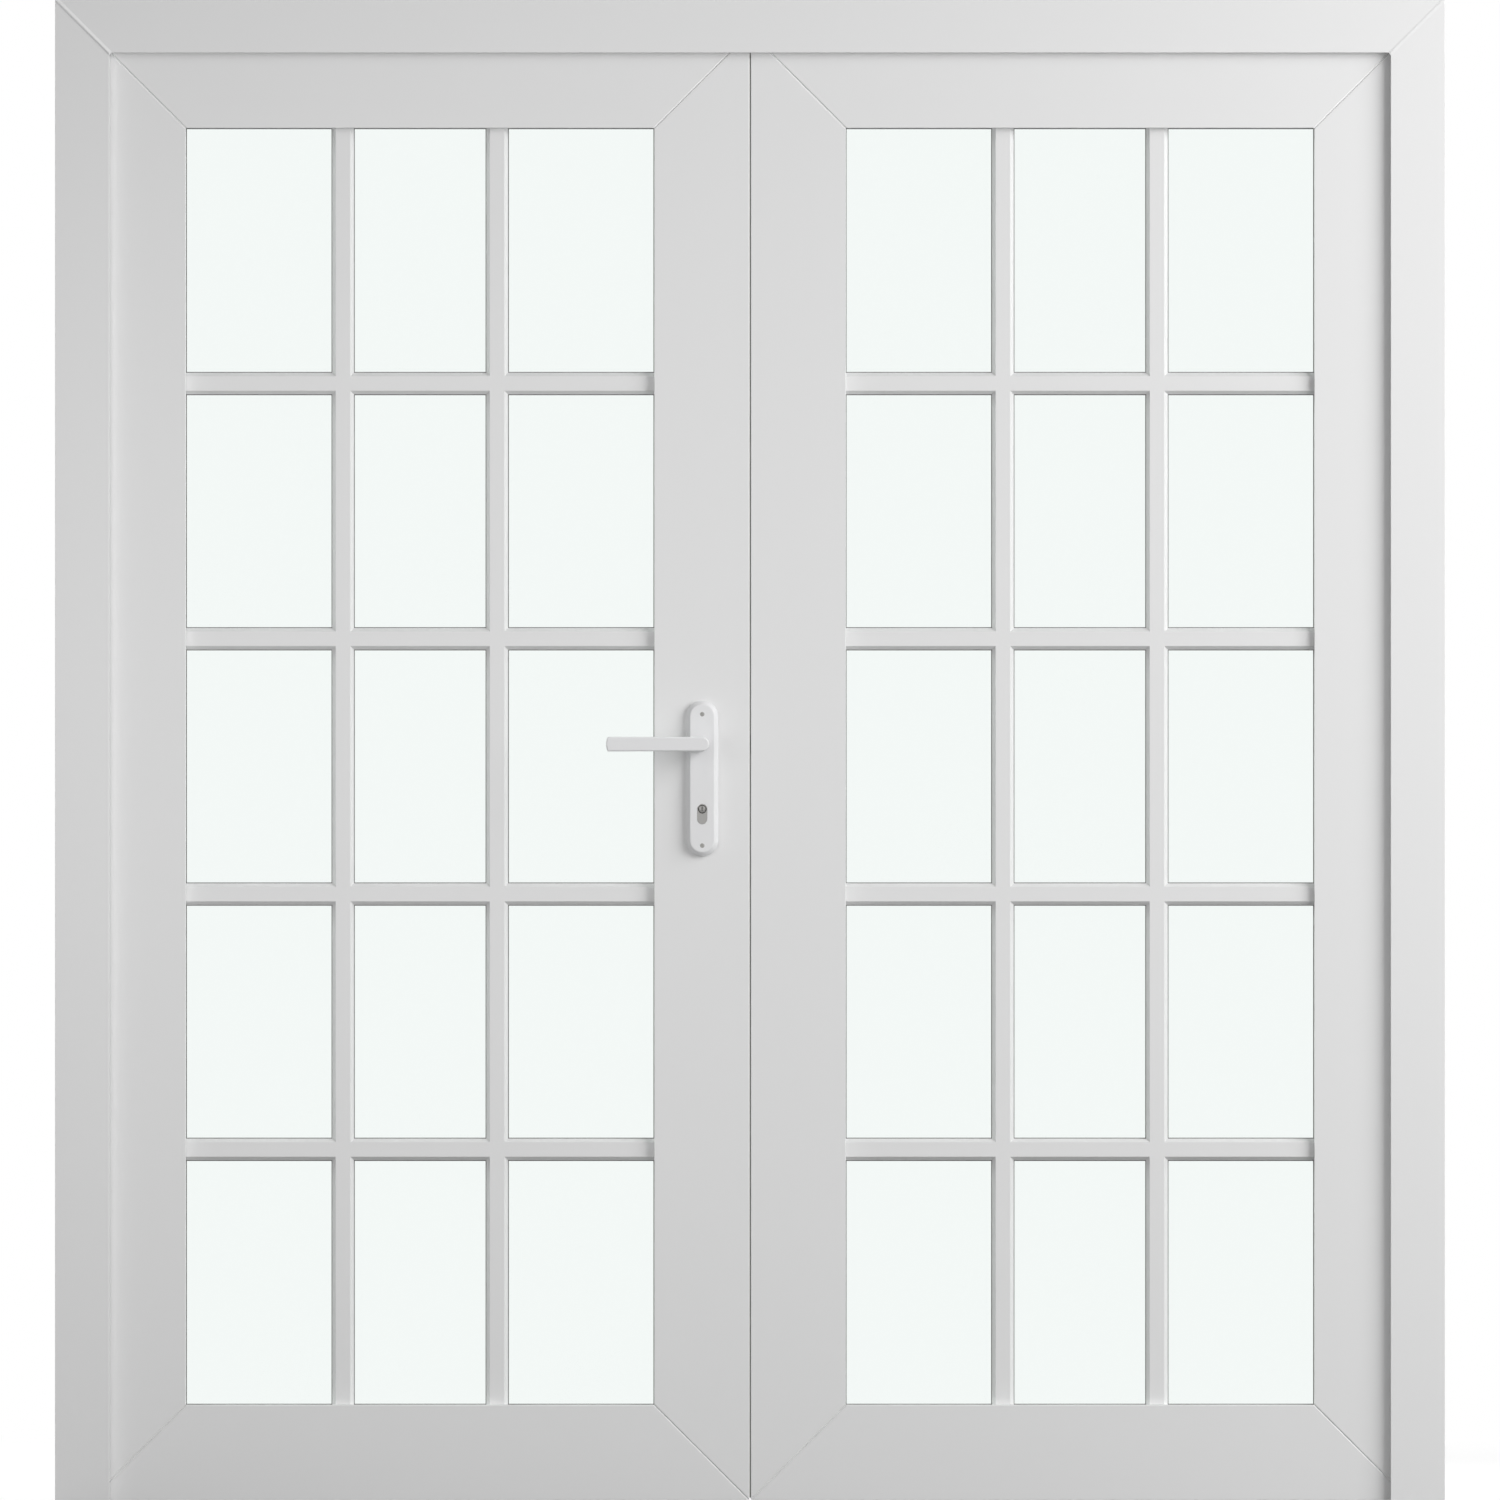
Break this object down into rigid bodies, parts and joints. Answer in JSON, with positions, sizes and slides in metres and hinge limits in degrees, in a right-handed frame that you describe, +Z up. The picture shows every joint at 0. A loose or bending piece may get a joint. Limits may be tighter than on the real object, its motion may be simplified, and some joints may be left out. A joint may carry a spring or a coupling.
{
  "type": "french doors",
  "caption": "Pair of white glazed interior doors with glazing bars, mitred stiles and rails, lever handle and lock, hinged in a frame with flat mitred casing.",
  "frame": {"origin": "on the floor, midway between the jambs, halfway through the leaves' thickness", "axes": "+X across the pair to the right as seen from the casing side, +Y towards the side that the leaves open to, +Z up"},
  "size_m": [1.9244, 0.152, 2.0835],
  "materials": {
    "white_lacquer": "matt white lacquer on moulded fibreboard",
    "white_frame_lacquer": "matt white lacquer",
    "bar_white": "matt white lacquer",
    "clear_glass": "clear, polished",
    "handle_white": "satin white powder coat",
    "cylinder_nickel": "satin nickel",
    "plug_nickel": "satin nickel, turned",
    "hinge_steel": "satin plated",
    "lock_steel": "brushed",
    "bolt_steel": "nickel plated",
    "screw_steel": "plated",
    "seal_rubber": "matt light rubber"
  },
  "bodies": {
    "frame": {"left_jamb": "white_frame_lacquer", "right_jamb": "white_frame_lacquer", "head_jamb": "white_frame_lacquer", "left_casing": "white_frame_lacquer", "right_casing": "white_frame_lacquer", "head_casing": "white_frame_lacquer", "frame_seal": "seal_rubber", "left_top_hinge_jamb_wing": "hinge_steel", "left_middle_hinge_jamb_wing": "hinge_steel", "left_bottom_hinge_jamb_wing": "hinge_steel", "right_top_hinge_jamb_wing": "hinge_steel", "right_middle_hinge_jamb_wing": "hinge_steel", "right_bottom_hinge_jamb_wing": "hinge_steel", "left_hinge_pins": "hinge_steel", "right_hinge_pins": "hinge_steel", "jamb_hinge_screws": "screw_steel", "top_bolt_keeper": "lock_steel"},
    "left_leaf": {"left_hinge_stile": "white_lacquer", "left_meeting_stile": "white_lacquer", "left_top_rail": "white_lacquer", "left_bottom_rail": "white_lacquer", "left_glass": "clear_glass", "left_front_grille": "bar_white", "left_back_grille": "bar_white", "left_top_hinge_leaf_wing": "hinge_steel", "left_middle_hinge_leaf_wing": "hinge_steel", "left_bottom_hinge_leaf_wing": "hinge_steel", "left_leaf_screws": "screw_steel", "lock_case": "lock_steel", "lock_faceplate": "lock_steel", "front_handle_plate": "handle_white", "back_handle_plate": "handle_white", "handle_plate_screws": "screw_steel", "cylinder_body": "cylinder_nickel"},
    "right_leaf": {"right_hinge_stile": "white_lacquer", "right_meeting_stile": "white_lacquer", "right_top_rail": "white_lacquer", "right_bottom_rail": "white_lacquer", "right_glass": "clear_glass", "right_front_grille": "bar_white", "right_back_grille": "bar_white", "right_top_hinge_leaf_wing": "hinge_steel", "right_middle_hinge_leaf_wing": "hinge_steel", "right_bottom_hinge_leaf_wing": "hinge_steel", "right_leaf_screws": "screw_steel", "strike_plate": "lock_steel", "top_flush_bolt_plate": "lock_steel", "bottom_flush_bolt_plate": "lock_steel"},
    "handle": {"front_lever": "handle_white", "back_lever": "handle_white", "spindle": "lock_steel", "lock_follower": "lock_steel"},
    "latch": {"latch_bolt": "bolt_steel"},
    "key_cylinder_plug": {"key_plug": "plug_nickel"},
    "dead_bolt": {"dead_bolt": "bolt_steel"},
    "top_flush_bolt": {"top_flush_bolt": "bolt_steel"},
    "bottom_flush_bolt": {"bottom_flush_bolt": "bolt_steel"}
  },
  "joints": [
    {"name": "left_leaf_swing", "type": "hinge", "parent": "frame", "child": "left_leaf", "pos_m": [-0.9147, 0.0266, 0], "axis": [0, 0, 1], "range_deg": [0, 110]},
    {"name": "right_leaf_swing", "type": "hinge", "parent": "frame", "child": "right_leaf", "pos_m": [0.9147, 0.0266, 0], "axis": [0, 0, -1], "range_deg": [0, 110]},
    {"name": "lever_turn", "type": "hinge", "parent": "left_leaf", "child": "handle", "pos_m": [-0.0662, 0, 1.051], "axis": [0, -1, 0], "range_deg": [0, 40], "stiffness_Nm_per_rad": 1.2, "springref_deg": -28.65},
    {"name": "latch_slide", "type": "slide", "parent": "left_leaf", "child": "latch", "axis": [-1, 0, 0], "range_m": [0, 0.011]},
    {"name": "key_turn", "type": "hinge", "parent": "left_leaf", "child": "key_cylinder_plug", "pos_m": [-0.0662, 0, 0.961], "axis": [0, -1, 0], "range_deg": [0, 360]},
    {"name": "dead_bolt_slide", "type": "slide", "parent": "left_leaf", "child": "dead_bolt", "axis": [1, 0, 0], "range_m": [0, 0.02]},
    {"name": "top_flush_bolt_slide", "type": "slide", "parent": "right_leaf", "child": "top_flush_bolt", "axis": [0, 0, 1], "range_m": [0, 0.018]},
    {"name": "bottom_flush_bolt_slide", "type": "slide", "parent": "right_leaf", "child": "bottom_flush_bolt", "axis": [0, 0, -1], "range_m": [0, 0.018]}
  ],
  "couplings": [
    {"joint": "latch_slide", "follows": "lever_turn", "m_per_rad": 0.015755},
    {"joint": "key_turn", "follows": "dead_bolt_slide", "rad_per_m": 314.13}
  ]
}
